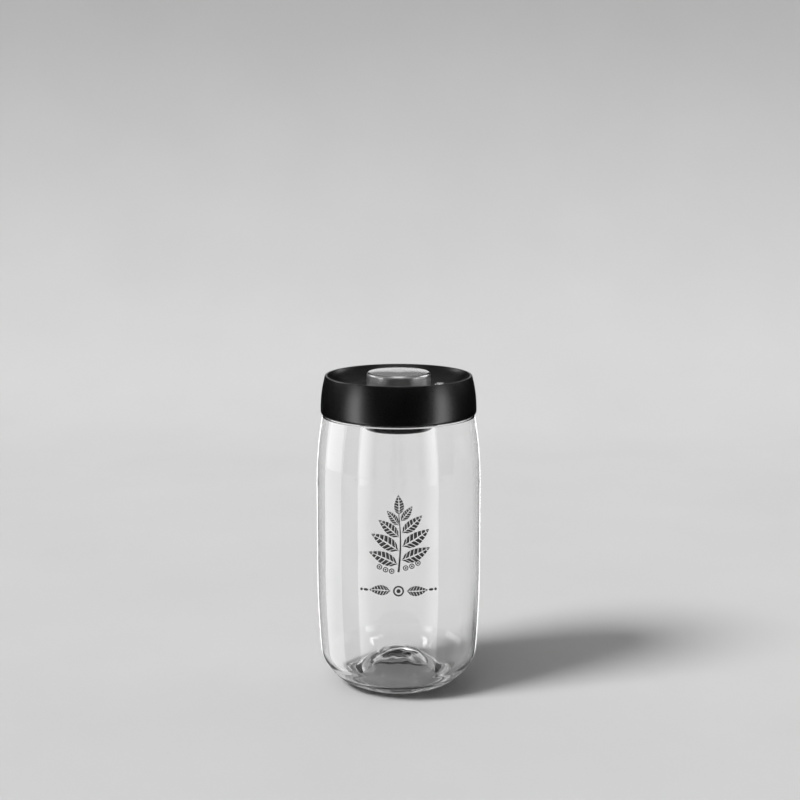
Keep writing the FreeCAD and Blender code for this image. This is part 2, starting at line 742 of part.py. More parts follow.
# The core of the press cap: a disc with an outer skirt and an inner sleeve that grips the piston;
# four grooves under the disc let the pumped air out.
cap_core = turned_part("cap_core", [
    ("pocket_inner - pocket_inset", "piston_top"),
    ("piston_neck_radius + fit_gap", "piston_top"),
    ("piston_neck_radius + fit_gap", "cap_bottom + core_lift"),
    ("piston_neck_radius + fit_gap + core_wall", "cap_bottom + core_lift"),
    ("piston_neck_radius + fit_gap + core_wall", "piston_top"),
    ("cap_inner_radius - core_gap - core_wall", "piston_top"),
    ("cap_inner_radius - core_gap - core_wall", "cap_bottom + core_lift"),
    ("cap_inner_radius - core_gap", "cap_bottom + core_lift"),
    ("cap_inner_radius - core_gap", "core_top", "cap_round"),
    ("pocket_inner - pocket_inset", "core_top"),
])
vent = blind_pocket(cap_core, "core_vent", [
    ("pocket_inner - pocket_inset - core_vent_depth", "-core_vent_width / 2"),
    ("cap_radius - core_vent_inset", "-core_vent_width / 2"),
    ("cap_radius - core_vent_inset", "core_vent_width / 2"),
    ("pocket_inner - pocket_inset - core_vent_depth", "core_vent_width / 2"),
], "piston_top - core_vent_depth", "core_vent_depth * 2")
around(cap_core, "core_vents", [vent], "core_vent_count")

# The adhesive pad between the flat core and the crowned steel.
cap_pad = turned_part("cap_pad", [
    ("0", "core_top"),
    ("pad_radius", "core_top"),
    ("pad_radius", "pad_rim"),
    ("crown_radius", "cap_under", "cap_crown_round"),
    ("0", "cap_under"),
])

# The press cap: a drawn cup of steel sheet with a crowned top, open below.
pump_cap = turned_part("pump_cap", [
    ("0", "cap_under"),
    ("crown_radius", "cap_under", "cap_crown_round"),
    ("cap_inner_radius", "cap_inner_rim", "cap_round - cap_sheet"),
    ("cap_inner_radius", "cap_bottom"),
    ("cap_radius", "cap_bottom"),
    ("cap_radius", "cap_top - cap_crown", "cap_round"),
    ("crown_radius", "cap_top", "cap_crown_round"),
    ("0", "cap_top"),
])

# The release button: a hollow silver button whose roof holds the stem.
release_button = turned_part("release_button", [
    ("release_stem_radius + fit_gap / 2", "release_pocket_top"),
    ("release_pocket_radius", "release_pocket_top"),
    ("release_pocket_radius", "release_bottom"),
    ("release_radius", "release_bottom"),
    ("release_radius", "release_top", "release_round"),
    ("0", "release_top"),
    ("0", "release_pocket_top + release_grip"),
    ("release_stem_radius + fit_gap / 2", "release_pocket_top + release_grip"),
])
stand_at_release(release_button)

# The stem: a pin held in the button, through the boss, with a head below the plate.
release_stem = turned_part("release_stem", [
    ("0", "plate_under - fit_gap - release_seal_thick - release_head_thick"),
    ("release_head_radius", "plate_under - fit_gap - release_seal_thick - release_head_thick"),
    ("release_head_radius", "plate_under - fit_gap - release_seal_thick"),
    ("release_stem_radius", "plate_under - fit_gap - release_seal_thick"),
    ("release_stem_radius", "release_pocket_top + release_grip - fit_gap"),
    ("0", "release_pocket_top + release_grip - fit_gap"),
])
stand_at_release(release_stem)

# The washer that the head draws up against the plate.
release_seal = turned_part("release_seal", [
    ("release_stem_radius + fit_gap / 2", "plate_under - fit_gap - release_seal_thick"),
    ("release_seal_radius", "plate_under - fit_gap - release_seal_thick"),
    ("release_seal_radius", "plate_under - fit_gap"),
    ("release_stem_radius + fit_gap / 2", "plate_under - fit_gap"),
])
stand_at_release(release_seal)


def biarc(start, start_way, finish, finish_way):
    # Two arcs that leave one point and reach another, each along its given way.
    span = finish - start
    ways = start_way + finish_way
    bend = 2 * (1 - start_way.dot(finish_way))
    reach = (math.sqrt(span.dot(ways) ** 2 + bend * span.dot(span)) - span.dot(ways)) / bend
    joint = (start + start_way * reach + finish - finish_way * reach) * 0.5
    return [tangent_arc(start, start_way, joint), tangent_arc(finish, -finish_way, joint, True)]


def tangent_arc(near, way, far, backwards=False):
    chord = far - near
    along = FreeCAD.Vector(chord).normalize()
    side = way - along * way.dot(along)
    rise = chord.Length / 2 * math.tan(way.getAngle(chord) / 2)
    crest = (near + far) * 0.5 + side.normalize() * rise
    if backwards:
        return Part.Arc(far, crest, near)
    return Part.Arc(near, crest, far)


def wound_spring(node, coil, wire, turns, low, high):
    # One wire wound about Z between two seats, swept along biarcs of a quarter turn.
    coil_radius, wire_radius = value(coil), value(wire)
    foot = value(f"{low} + {wire} + spring_seat_gap")
    climb = value(f"{high} - {wire} - spring_seat_gap") - foot
    quarters = round(value(turns) * 4)
    rise = climb / (quarters * math.pi / 2)

    def on_coil(quarter):
        turn = quarter * math.pi / 2
        point = FreeCAD.Vector(
            coil_radius * math.cos(turn), coil_radius * math.sin(turn), foot + rise * turn)
        way = FreeCAD.Vector(-coil_radius * math.sin(turn), coil_radius * math.cos(turn), rise)
        return point, way.normalize()

    arcs = []
    for quarter in range(quarters):
        start, start_way = on_coil(quarter)
        finish, finish_way = on_coil(quarter + 1)
        arcs += biarc(start, start_way, finish, finish_way)
    path = Part.Wire([arc.toShape() for arc in arcs])
    start, start_way = on_coil(0)
    section = Part.Wire(Part.Circle(start, start_way, wire_radius).toShape())
    shell = Part.BRepOffsetAPI.MakePipeShell(path)
    shell.add(section)
    shell.build()
    shell.makeSolid()
    spring = doc.addObject("Part::Feature", node)
    spring.Label = node
    spring.Shape = shell.shape()

    # The least gap between the wire and itself, on points along its centre line.
    steps = 6
    samples = []
    for arc in arcs:
        sweep = arc.LastParameter - arc.FirstParameter
        samples += [arc.value(arc.FirstParameter + sweep * i / steps) for i in range(steps)]
    apart = len(samples) * 3 // quarters
    gap = min(
        (a - b).Length
        for i, a in enumerate(samples) for b in samples[i + apart:]) - 2 * wire_radius
    print(f"{node}: least gap to itself {gap:.2f} mm")
    return spring


pump_spring = wound_spring(
    "pump_spring", "pump_coil_radius", "pump_wire_radius", "pump_coil_turns",
    "barrel_floor_top", "pocket_top")
release_spring = wound_spring(
    "release_spring", "release_coil_radius", "release_wire_radius", "release_coil_turns",
    "release_boss_top", "release_pocket_top")
stand_at_release(release_spring)

NODES = [
    glass_jar, lid_cover, inner_lid, neck_gasket, lid_screws, pump_barrel, barrel_o_ring,
    intake_strainer, pump_spring, release_spring, pump_cap, cap_pad, cap_core, piston, piston_seal,
    intake_valve, exhaust_valve, release_button, release_stem, release_seal,
]

doc.recompute()
for item in doc.Objects:
    if "Invalid" in item.State or "Error" in item.State:
        raise RuntimeError(f"{item.Label} did not recompute: {item.State}")
for node in NODES:
    if node.Shape.isNull() or not node.Shape.isValid() or not node.Shape.Solids:
        raise RuntimeError(f"{node.Label} has no valid solid")

os.makedirs("parts", exist_ok=True)
for node in NODES:
    node.Shape.exportStep(f"parts/{node.Label}.step")
    print(f"{node.Label}: {len(node.Shape.Solids)} solid, {node.Shape.Volume / 1000:.3f} cm3")
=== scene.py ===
import bisect
import json
import math

import bmesh
import bpy
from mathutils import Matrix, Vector, noise


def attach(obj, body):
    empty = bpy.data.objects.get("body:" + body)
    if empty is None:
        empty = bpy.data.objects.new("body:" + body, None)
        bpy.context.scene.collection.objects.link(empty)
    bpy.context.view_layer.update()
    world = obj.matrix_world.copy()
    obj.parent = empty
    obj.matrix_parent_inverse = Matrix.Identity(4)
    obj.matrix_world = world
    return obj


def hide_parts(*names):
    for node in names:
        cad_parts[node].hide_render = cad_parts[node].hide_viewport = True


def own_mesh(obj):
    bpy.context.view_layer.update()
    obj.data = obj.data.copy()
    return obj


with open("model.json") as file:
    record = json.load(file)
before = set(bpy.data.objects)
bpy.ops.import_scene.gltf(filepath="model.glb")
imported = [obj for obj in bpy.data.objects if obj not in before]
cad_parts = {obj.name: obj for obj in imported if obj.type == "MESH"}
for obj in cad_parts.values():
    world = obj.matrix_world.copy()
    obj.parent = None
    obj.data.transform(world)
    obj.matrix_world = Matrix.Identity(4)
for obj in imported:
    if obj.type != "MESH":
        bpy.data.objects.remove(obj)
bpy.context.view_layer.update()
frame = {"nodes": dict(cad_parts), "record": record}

MM = 0.001
FULL_TURN = 2 * math.pi
UP = Vector((0.0, 0.0, 1.0))
WHITE = (1.0, 1.0, 1.0, 1.0)

# The jar, in millimetres. Its foot, outer wall and lip are those of the frame's jar.
JAR_HEIGHT = 186.0
BODY_RADIUS = 52.0
BELLY_LOW = 52.5
BELLY_HIGH = 150.6
BELLY_ROUND = 650.0
SHOULDER_RADIUS = 48.2
SHOULDER_HEIGHT = 174.6
NECK_RADIUS = 47.2
NECK_WALL = 2.9
LIP_ROUND = 1.2
MOUTH_HEIGHT = 177.0
GLASS_WALL = 2.8
HEEL_RADIUS = 49.6
HEEL_HEIGHT = 18.35
TOE_RADIUS = 40.0
TOE_HEIGHT = 5.2
FOOT_RADIUS = 28.5
FOOT_WIDTH = 3.4
TROUGH_RADIUS = 36.0
TROUGH_HEIGHT = 5.0
CROWN_RADIUS = 8.0
CROWN_HEIGHT = 23.0
HOLLOW_RADIUS = 12.0
HOLLOW_HEIGHT = 17.0

# Corners of the jar's outline as radius, height and rounding, from the axis below the pushed-up
# base, up the outer wall, over the lip and down the inner wall to the axis.
JAR_CORNERS = [
    (0.0, HOLLOW_HEIGHT, 0.0),
    (HOLLOW_RADIUS, HOLLOW_HEIGHT, 24.0),
    (FOOT_RADIUS - FOOT_WIDTH, 0.0, 2.5),
    (FOOT_RADIUS, 0.0, 5.0),
    (TOE_RADIUS, TOE_HEIGHT, 22.0),
    (HEEL_RADIUS, HEEL_HEIGHT, 20.0),
    (BODY_RADIUS, BELLY_LOW, BELLY_ROUND),
    (BODY_RADIUS, BELLY_HIGH, 240.0),
    (SHOULDER_RADIUS, SHOULDER_HEIGHT, 0.5),
    (NECK_RADIUS, SHOULDER_HEIGHT, 0.4),
    (NECK_RADIUS, JAR_HEIGHT, LIP_ROUND),
    (NECK_RADIUS - NECK_WALL, JAR_HEIGHT, LIP_ROUND),
    (NECK_RADIUS - NECK_WALL, MOUTH_HEIGHT, 25.0),
    (BODY_RADIUS - GLASS_WALL, BELLY_HIGH, 175.0),
    (BODY_RADIUS - GLASS_WALL, BELLY_LOW, BELLY_ROUND - GLASS_WALL),
    (HEEL_RADIUS - GLASS_WALL, HEEL_HEIGHT + GLASS_WALL / 2, 16.0),
    (TROUGH_RADIUS, TROUGH_HEIGHT, 7.0),
    (CROWN_RADIUS, CROWN_HEIGHT, 27.0),
    (0.0, CROWN_HEIGHT, 0.0),
]

# How finely the jar is divided: points round it, angle and least number of steps of a rounding,
# longest side in millimetres, and the radius in metres below which a ring is a point on the axis.
JAR_SEGMENTS = 240
ARC_STEP = math.radians(4.0)
LEAST_ARC_STEPS = 3
LONGEST_SIDE = 2.0
AXIS_RADIUS = 1e-6

# The unevenness of the glass base, in metres: lump size and depth, coarse and fine, the heights
# between which it fades in above the foot, and the radii between which it fades out.
BASE_LUMPS = [(0.012, 0.0006), (0.005, 0.0002)]
BASE_FADE_HEIGHTS = (0.0015, 0.006)
BASE_FADE_RADII = (0.028, 0.037)

# The print on the front of the jar, in millimetres: how far its ink goes in and out from the glass,
# the least radius of the wall that carries it, and the heights of the sprig's foot and the divider.
INK_DEPTH = 0.03
WALL_LEAST_RADIUS = 50.0
SPRIG_FOOT = 86.0
DIVIDER_HEIGHT = 74.0

# Each leaf: how its outline swells, its bend as a share of its length, and the cells on both sides
# of its midrib, with the shares that their slant, the veins between them and the midrib take.
LEAF_SWELL = 0.82
LEAF_BEND_SHARE = 0.10
LEAF_CELLS = 7
CELL_STEPS = 5
CELL_SLANT_SHARE = 0.16
VEIN_SHARE = 0.2
MIDRIB_SHARE = 0.12

# The sprig: heights of the points of its stem, widths of its ends, size and length of its sway.
STEM_HEIGHTS = range(0, 37, 2)
STEM_WIDTHS = (1.3, 0.5)
STEM_SWAY = 1.2
STEM_WAVE = 12.0

# Pairs of leaves as height, length and slope in degrees, how far one of a pair is above the middle,
# how far a leaf starts from the stem, and the leaf at the top.
LEAF_PAIRS = [(6.0, 20.0, 22.0), (14.5, 20.5, 31.0), (23.0, 17.0, 40.0), (30.5, 12.0, 52.0)]
LEAF_WIDTH_SHARE = 0.40
LEAF_STAGGER = 1.4
LEAF_STALK = 0.6
TOP_LEAF = dict(height=35.5, length=13.0, width=6.0, slope=92.0)

# Berries as places across and above the foot, with the radii of their ring and of their dot.
BERRIES = [(4.4, 2.6), (8.2, 3.6), (12.0, 5.4), (-4.2, 0.6), (-8.0, 1.4), (-11.8, 3.0)]
BERRY_RING = (1.7, 1.1)
BERRY_DOT = 0.6

# The divider: ring and dot in its middle, then a leaf, a bar and a dot on both sides.
MIDDLE_RING = (3.4, 2.4)
MIDDLE_DOT = 1.3
SIDE_LEAF = dict(across=4.6, length=14.0, width=6.4)
SIDE_BAR = dict(across=20.6, half_length=1.8, half_height=0.8)
SIDE_DOT = dict(across=23.6, radius=0.9)

# Rings, dots and bars: steps round a ring, the hole left in a dot, steps along a bar and how full
# its ends are.
RING_STEPS = 24
DOT_HOLE = 0.02
BAR_STEPS = 12
BAR_FULLNESS = 0.6

# The springs, in millimetres: the node that each one replaces, the joint that squeezes it and how
# far, its centre, coil and wire radius, foot, head and turns.
SPRINGS = [
    dict(name="pump_spring_wire", node="pump_spring", joint="pump_press", travel=9.0,
         centre=(0.0, 0.0), coil=12.0, wire=0.65, foot=172.05, head=197.78, turns=6.5),
    dict(name="release_spring_wire", node="release_spring", joint="release_press", travel=2.0,
         centre=(25.798, -10.356), coil=2.05, wire=0.25, foot=182.2, head=194.0, turns=6.0),
]

# Each end of a spring: its gap to the seat, the turns that lie closed and how many wire radii they
# climb. Then how finely the wire is divided, along a turn and round itself.
SEAT_GAP = 0.1
CLOSED_TURNS = 0.8
CLOSED_RISE = 2.1
STEPS_PER_TURN = 48
WIRE_SIDES = 14

# The part of a noise pattern's range that a finish spreads over its own range.
PATTERN_RANGE = (0.3, 0.7)

# How steeply a face of the steel cap must look up to be brushed as its top, and how much smoother
# the top is than the side.
CAP_TOP_FACING = 0.7
CAP_TOP_SMOOTHER = 0.27

# The floor and backdrop, in metres, their tones, and the strength of the painted glow that makes them
# lighter where they are seen through glass.
FLOOR_FRONT = -30.0
FLOOR_HALF_WIDTH = 30.0
BACKDROP_START = 0.75
BACKDROP_BEND = 0.5
BACKDROP_HEIGHT = 6.0
BEND_STEPS = 16
FLOOR_GRAIN = 0.15
FLOOR_TONES = (0.6, 0.62)
FLOOR_GLOW_THROUGH_GLASS = 0.1

# How bright the surround is as a light, and where the camera or glass shows it.
SURROUND_LEVELS = (0.06, 0.3)

# Lamps: name, place that they shine from, strength and width in degrees.
LAMPS = [
    ("lamp_left", (-0.9, -0.5, 1.05), 3.1, 20.0),
    ("lamp_high", (-0.4, -0.5, 1.5), 0.5, 40.0),
]

# How much of its glow a card shows in blurred and in sharp reflections, by what it is for. A ray has
# been reflected once its glossy depth is over the least one.
CARD_SHARES = {"plain": (1.0, 0.0), "glass": (0.0, 1.0)}
REFLECTED_DEPTH = 0.5

# Upright cards: name, azimuth from the camera in degrees, distance, width, low and high edge in
# metres, strength, share of the half width that fades out, and what the card is for.
UPRIGHT_CARDS = [
    ("card_left", -58.0, 0.9, 0.9, -0.9, 0.4, 5.7, 0.9, "plain"),
    ("card_right", 57.0, 0.9, 0.95, -0.9, 0.4, 5.3, 0.9, "plain"),
    ("card_front", 0.0, 0.9, 1.0, 0.7, 1.3, 0.7, 0.5, "plain"),
    ("card_wing_left", -112.0, 0.9, 0.7, 0.45, 0.7, 5.5, 0.5, "plain"),
    ("card_wing_right", 112.0, 0.9, 0.7, 0.45, 0.7, 5.5, 0.5, "plain"),
    ("card_back", 180.0, 1.1, 0.5, 0.22, 0.42, 1.0, 0.6, "plain"),
    ("card_high", 180.0, 1.1, 0.6, 0.5, 1.4, 0.3, 0.5, "plain"),
    ("glass_left", -56.0, 0.9, 0.8, -0.9, 0.4, 2.8, 0.95, "glass"),
    ("glass_right", 55.0, 0.9, 0.8, -0.9, 0.4, 2.6, 0.95, "glass"),
    ("glass_side", -104.0, 0.9, 0.62, -0.9, 0.3, 2.0, 0.02, "glass"),
    ("glass_high_left", -62.0, 0.9, 0.66, 1.0, 1.08, 7.0, 0.4, "glass"),
    ("glass_high_right", 48.0, 0.9, 0.66, 1.0, 1.08, 7.0, 0.4, "glass"),
    ("glass_rim", 180.0, 1.1, 1.0, -0.4, 0.22, 2.2, 0.3, "glass"),
]

# Level cards: name, height, width, front and back edge in metres, strength, share of the half width
# that fades out, and what the card is for.
LEVEL_CARDS = [
    ("card_top", 1.3, 1.2, -0.7, -0.1, 1.1, 0.3, "plain"),
    ("card_over", 1.3, 0.36, -0.1, 0.9, 1.2, 0.3, "plain"),
    ("card_sky", 1.4, 3.0, -1.5, 2.0, 0.2, 0.3, "plain"),
    ("glass_under", -0.95, 4.0, -2.0, 2.0, 0.3, 0.1, "glass"),
]

# The camera: its lens in millimetres, and its place and the point that it looks at in metres.
CAMERA_LENS = 80.4
CAMERA_EYE = Vector((0.0009, -1.111, 0.377))
CAMERA_AIM = Vector((0.0009, 0.0, 0.1839))


# Meshes


def rounded_outline(corners):
    """The corners of an outline in millimetres, with an arc in place of each rounded one."""
    points = [corners[0][:2]]
    for before, corner, after in zip(corners, corners[1:], corners[2:]):
        points += corner_arc(before, corner, after)
    points.append(corners[-1][:2])
    return split_sides(points)


def corner_arc(before, corner, after):
    """Points of the arc that touches both sides of a corner."""
    here = Vector(corner[:2])
    rounding = corner[2]
    into = (here - Vector(before[:2])).normalized()
    out = (Vector(after[:2]) - here).normalized()
    turn = into.angle(out)
    centre = here + (out - into).normalized() * (rounding / math.cos(turn / 2))
    start = here - into * (rounding * math.tan(turn / 2)) - centre
    side = into * rounding
    steps = max(LEAST_ARC_STEPS, math.ceil(turn / ARC_STEP))
    angles = [turn * i / steps for i in range(steps + 1)]
    return [tuple(centre + start * math.cos(angle) + side * math.sin(angle)) for angle in angles]


def split_sides(points):
    """The same outline, with no side longer than the longest allowed."""
    fine = [points[0]]
    for a, b in zip(points, points[1:]):
        a, b = Vector(a), Vector(b)
        steps = math.ceil((b - a).length / LONGEST_SIDE)
        fine += [tuple(a.lerp(b, (i + 1) / steps)) for i in range(steps)]
    return fine


def turns(count):
    """Angles that divide a full turn evenly."""
    return [FULL_TURN * i / count for i in range(count)]


def lathe_ring(mesh, radius, height):
    """One ring of points about the Z axis, or a single point on it."""
    if radius < AXIS_RADIUS:
        return [mesh.verts.new((0.0, 0.0, height))]
    angles = turns(JAR_SEGMENTS)
    return [mesh.verts.new((radius * math.cos(a), radius * math.sin(a), height)) for a in angles]


def skin(mesh, rings):
    """Faces between each closed ring of points and the next."""
    for low, high in zip(rings, rings[1:]):
        count = max(len(low), len(high))
        for i in range(count):
            after = (i + 1) % count
            corners = [low[i % len(low)], low[after % len(low)],
                       high[after % len(high)], high[i % len(high)]]
            mesh.faces.new(list(dict.fromkeys(corners)))


def closed_tube(mesh, rings):
    """Faces between rings of points, and over both ends."""
    skin(mesh, rings)
    mesh.faces.new(rings[0])
    mesh.faces.new(rings[-1])


def mesh_object(name, mesh):
    """A smooth object from a finished mesh."""
    bmesh.ops.recalc_face_normals(mesh, faces=mesh.faces)
    data = bpy.data.meshes.new(name)
    mesh.to_mesh(data)
    mesh.free()
    data.shade_smooth()
    piece = bpy.data.objects.new(name, data)
    bpy.context.scene.collection.objects.link(piece)
    return piece


def finish_piece(piece, slot, body, node):
    """Gives a piece the finish of a slot and a body, in place of a node of the frame."""
    piece.data.materials.append(FINISHES[slot])
    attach(piece, body)
    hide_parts(node)


# Shader nodes


def new_shader(name, values):
    """A new material, its node tree and its principled shader with these values on its sockets."""
    material = bpy.data.materials.new(name)
    material.use_nodes = True
    tree = material.node_tree
    shader = tree.nodes["Principled BSDF"]
    for socket, value in values.items():
        shader.inputs[socket].default_value = value
    return material, tree, shader


def feed(tree, sockets, values):
    """Gives each socket a number, or links it to the result of another node."""
    for socket, value in zip(sockets, values):
        if isinstance(value, bpy.types.NodeSocket):
            tree.links.new(value, socket)
        else:
            socket.default_value = value


def calculate(tree, operation, *values):
    """The result of an operation on numbers and on the results of other nodes."""
    node = tree.nodes.new("ShaderNodeMath")
    node.operation = operation
    feed(tree, node.inputs, values)
    return node.outputs["Value"]


def rescale(tree, value, source, target, way="LINEAR"):
    """A value taken from one range to another, and kept inside it."""
    node = tree.nodes.new("ShaderNodeMapRange")
    node.interpolation_type = way
    sockets = [node.inputs[name] for name in ("Value", "From Min", "From Max", "To Min", "To Max")]
    feed(tree, sockets, (value, *source, *target))
    return node.outputs["Result"]


def split_vector(tree, vector):
    """The X, Y and Z of a vector."""
    node = tree.nodes.new("ShaderNodeSeparateXYZ")
    tree.links.new(vector, node.inputs["Vector"])
    return node.outputs


def join_vector(tree, *parts):
    """A vector from its X, Y and Z."""
    node = tree.nodes.new("ShaderNodeCombineXYZ")
    feed(tree, node.inputs, parts)
    return node.outputs["Vector"]


def light_path(tree):
    """What is known of a ray of light where it meets a surface."""
    return tree.nodes.new("ShaderNodeLightPath").outputs


def grain(tree, size, stretch=(1.0, 1.0, 1.0), detail=3.0, place=None):
    """A noise pattern with lumps of about this size in metres, drawn out by these factors."""
    if place is None:
        place = tree.nodes.new("ShaderNodeTexCoord").outputs["Object"]
    mapping = tree.nodes.new("ShaderNodeMapping")
    pattern = tree.nodes.new("ShaderNodeTexNoise")
    mapping.inputs["Scale"].default_value = [1.0 / (size * factor) for factor in stretch]
    pattern.inputs["Scale"].default_value = 1.0
    pattern.inputs["Detail"].default_value = detail
    tree.links.new(place, mapping.inputs["Vector"])
    tree.links.new(mapping.outputs["Vector"], pattern.inputs["Vector"])
    return pattern.outputs["Fac"]


def vary(tree, pattern, socket, span):
    """Lets a pattern move a number between two values."""
    tree.links.new(rescale(tree, pattern, PATTERN_RANGE, span), socket)


def tint(tree, pattern, socket, tones):
    """Lets a pattern move a neutral colour between two tones."""
    ramp = tree.nodes.new("ShaderNodeValToRGB")
    for element, position, tone in zip(ramp.color_ramp.elements, PATTERN_RANGE, tones):
        element.position = position
        element.color = (tone, tone, tone, 1.0)
    tree.links.new(pattern, ramp.inputs["Fac"])
    tree.links.new(ramp.outputs["Color"], socket)


def roughen(tree, pattern, socket, depth):
    """Lets a pattern raise the surface by this depth in metres."""
    bump = tree.nodes.new("ShaderNodeBump")
    bump.inputs["Distance"].default_value = depth
    tree.links.new(pattern, bump.inputs["Height"])
    tree.links.new(bump.outputs["Normal"], socket)


# Materials


def grained(name, values, tones, roughness, coarse, fine, depth):
    """A material whose tone follows a coarse grain, and its roughness and surface a fine one."""
    material, tree, shader = new_shader(name, values)
    pattern = grain(tree, fine)
    tint(tree, grain(tree, coarse), shader.inputs["Base Color"], tones)
    vary(tree, pattern, shader.inputs["Roughness"], roughness)
    roughen(tree, pattern, shader.inputs["Normal"], depth)
    return material


def moulded_plastic(name, tones, roughness, gloss):
    """Moulded plastic with a fine spark-eroded grain."""
    values = {"Specular IOR Level": gloss}
    return grained(name, values, tones, roughness, coarse=0.012, fine=0.0005, depth=0.000004)


def matt_rubber(name, tones, roughness):
    """A matt rubber with a mottled, slightly dusty surface."""
    values = {"Specular IOR Level": 0.3}
    return grained(name, values, tones, roughness, coarse=0.003, fine=0.0004, depth=0.00001)


def drawn_metal(name, tones, roughness, depth):
    """Bright metal with a fine drawn grain."""
    return grained(name, {"Metallic": 1.0}, tones, roughness, coarse=0.0003, fine=0.0003, depth=depth)


def clear_glass():
    """Clear glass with a faint unevenness in its surface."""
    values = {"Transmission Weight": 1.0, "Roughness": 0.0, "IOR": 1.5}
    material, tree, shader = new_shader("clear_glass_fine", values)
    slow = grain(tree, size=0.02, stretch=(1.0, 1.0, 3.0), detail=1.0)
    tint(tree, slow, shader.inputs["Base Color"], tones=(0.945, 0.97))
    roughen(tree, slow, shader.inputs["Normal"], depth=0.00004)
    return material


def brushed_steel():
    """Steel brushed in straight lines over its top and in level lines round its side."""
    material, tree, shader = new_shader("cap_steel_fine", {"Metallic": 1.0, "Anisotropic": 0.5})
    coordinates = tree.nodes.new("ShaderNodeTexCoord").outputs
    place = split_vector(tree, coordinates["Object"])
    facing = split_vector(tree, coordinates["Normal"])
    on_top = calculate(tree, "GREATER_THAN", facing["Z"], CAP_TOP_FACING)
    on_side = calculate(tree, "SUBTRACT", 1.0, on_top)
    across = tree.nodes.new("ShaderNodeMix")
    feed(tree, [across.inputs[name] for name in ("Factor", "A", "B")], (on_top, place["Z"], place["Y"]))
    lines = join_vector(tree, place["X"], across.outputs["Result"])
    scratches = grain(tree, size=0.0002, stretch=(120.0, 1.0, 1.0), detail=2.0, place=lines)
    tint(tree, scratches, shader.inputs["Base Color"], tones=(0.54, 0.76))
    side_roughness = rescale(tree, scratches, PATTERN_RANGE, (0.38, 0.48))
    roughness = calculate(tree, "MULTIPLY_ADD", on_top, -CAP_TOP_SMOOTHER, side_roughness)
    tree.links.new(roughness, shader.inputs["Roughness"])
    tree.links.new(join_vector(tree, 0.0, on_top, on_side), shader.inputs["Tangent"])
    return material


def print_ink():
    """Dark grey screen ink with a slightly uneven cover."""
    material, tree, shader = new_shader("print_ink", {"Specular IOR Level": 0.25})
    tint(tree, grain(tree, size=0.0012), shader.inputs["Base Color"], tones=(0.045, 0.065))
    vary(tree, grain(tree, size=0.0004), shader.inputs["Roughness"], span=(0.5, 0.62))
    return material


# The finish of each slot, with its tones, the range of its roughness, and the gloss of a plastic or
# the depth of a metal's grain.
FINISHES = {
    "clear_glass": clear_glass(),
    "black_satin": moulded_plastic("black_satin_fine", (0.002, 0.0035), (0.26, 0.35), gloss=0.5),
    "black_inner": moulded_plastic("black_inner_fine", (0.002, 0.004), (0.24, 0.33), gloss=0.05),
    "grey_plastic": moulded_plastic("grey_plastic_fine", (0.16, 0.2), (0.36, 0.45), gloss=0.4),
    "seal_silicone": matt_rubber("seal_silicone_fine", (0.52, 0.66), (0.44, 0.56)),
    "seal_rubber": matt_rubber("seal_rubber_fine", (0.015, 0.035), (0.49, 0.61)),
    "pad_foam": matt_rubber("pad_foam_fine", (0.6, 0.78), (0.74, 0.86)),
    "cap_steel": brushed_steel(),
    "spring_steel": drawn_metal("spring_steel_fine", (0.5, 0.62), (0.19, 0.3), depth=0.000002),
    "screw_steel": drawn_metal("screw_steel_fine", (0.46, 0.6), (0.27, 0.38), depth=0.000003),
    "release_silver": drawn_metal("release_silver_fine", (0.66, 0.74), (0.19, 0.3), depth=0.0000003),
}


def finish_frame():
    """Gives each node of the frame the finish of its slot."""
    for subpart in frame["record"]["subparts"]:
        node = frame["nodes"][subpart["node"]]
        node.data.materials.clear()
        node.data.materials.append(FINISHES[subpart["material_slot"]])


# Jar


def build_jar(outline):
    """The glass jar, with an uneven base."""
    mesh = bmesh.new()
    rings = [lathe_ring(mesh, radius * MM, height * MM) for radius, height in outline]
    for ring in under_rings(outline, rings) + inner_rings(outline, rings):
        for point in ring:
            point.co.z += base_wave(point.co)
    skin(mesh, rings)
    finish_piece(mesh_object("jar_glass", mesh), "clear_glass", "jar", "glass_jar")


def under_rings(outline, rings):
    """The rings of the hollow under the base, up to the foot that the jar stands on."""
    foot = min(range(len(outline)), key=lambda i: (outline[i][1], outline[i][0]))
    return rings[:foot]


def inner_rings(outline, rings):
    """The rings of the inside of the jar, from its lip down."""
    lip = max(range(len(outline)), key=lambda i: outline[i][1])
    return rings[lip:]


def fade(value, start, stop):
    """A share that grows from none at the start to all at the stop."""
    return min(1.0, max(0.0, (value - start) / (stop - start)))


def base_wave(place):
    """How far the glass of the base is raised at a place by its unevenness."""
    fade_in = fade(place.z, *BASE_FADE_HEIGHTS)
    fade_out = 1.0 - fade(place.to_2d().length, *BASE_FADE_RADII)
    return fade_in * fade_out * sum(depth * noise.noise(place / size) for size, depth in BASE_LUMPS)


# Print


def wall_of(outline):
    """The outer wall of the jar as heights and radii, from an outline of the jar."""
    wall = sorted((height, radius) for radius, height in outline if radius > WALL_LEAST_RADIUS)
    return [height for height, radius in wall], [radius for height, radius in wall]


def on_wall(wall, across, up, lift):
    """The place on the front of the wall that is this far across and up, lifted off the glass."""
    heights, radii = wall
    i = bisect.bisect(heights, up)
    share = (up - heights[i - 1]) / (heights[i] - heights[i - 1])
    radius = radii[i - 1] + (radii[i] - radii[i - 1]) * share
    angle = across / radius
    return Vector(((radius + lift) * math.sin(angle), -(radius + lift) * math.cos(angle), up)) * MM


def ink_patch(mesh, wall, left, right):
    """A thin closed patch of ink between two lines of points that are as many."""
    rings = []
    for a, b in zip(left, right):
        corners = ((a, -INK_DEPTH), (b, -INK_DEPTH), (b, INK_DEPTH), (a, INK_DEPTH))
        rings.append([mesh.verts.new(on_wall(wall, *point, lift)) for point, lift in corners])
    closed_tube(mesh, rings)


